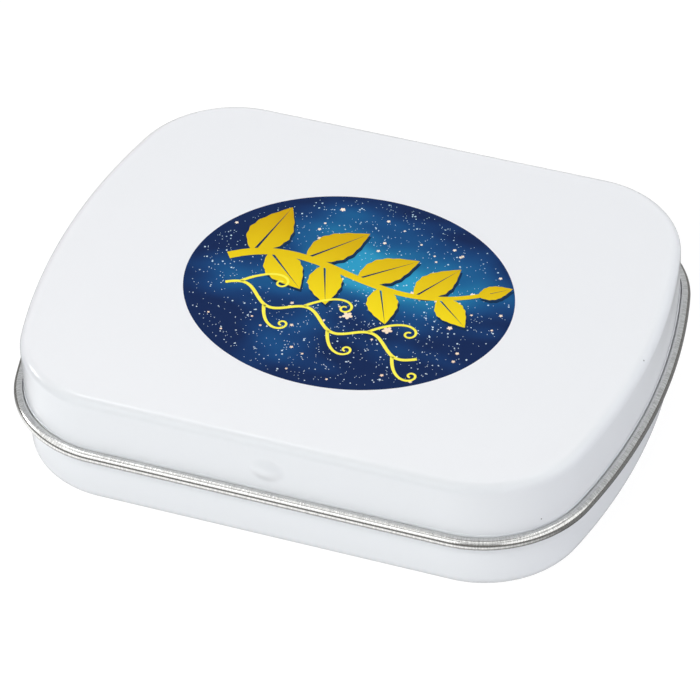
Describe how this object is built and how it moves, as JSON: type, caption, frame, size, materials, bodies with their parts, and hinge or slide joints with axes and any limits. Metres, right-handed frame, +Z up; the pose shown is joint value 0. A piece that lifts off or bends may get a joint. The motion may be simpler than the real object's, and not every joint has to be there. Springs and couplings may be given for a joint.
{
  "type": "hinged mint tin",
  "caption": "Small rounded white tin with a hinged lid, a bare rolled rim, a snap bump at the front and a printed oval on top.",
  "frame": {"origin": "middle of the flat underside, which the tin rests on", "axes": "+X along the tin's length, -Y towards its front, with the hinge at +Y, and +Z up through the lid"},
  "size_m": [0.0604, 0.048, 0.0127],
  "materials": {
    "enamel_base": "white gloss enamel outside, bare tinplate inside",
    "enamel_lid": "white gloss enamel with a printed oval, bare tinplate inside and on the rolled rim"
  },
  "bodies": {
    "base": {"base": "enamel_base"},
    "lid": {"lid": "enamel_lid"}
  },
  "joints": [
    {"name": "lid_hinge", "type": "hinge", "parent": "base", "child": "lid", "pos_m": [0, 0.0232, 0.0063], "axis": [-1, 0, 0], "range_deg": [0, 110]}
  ]
}
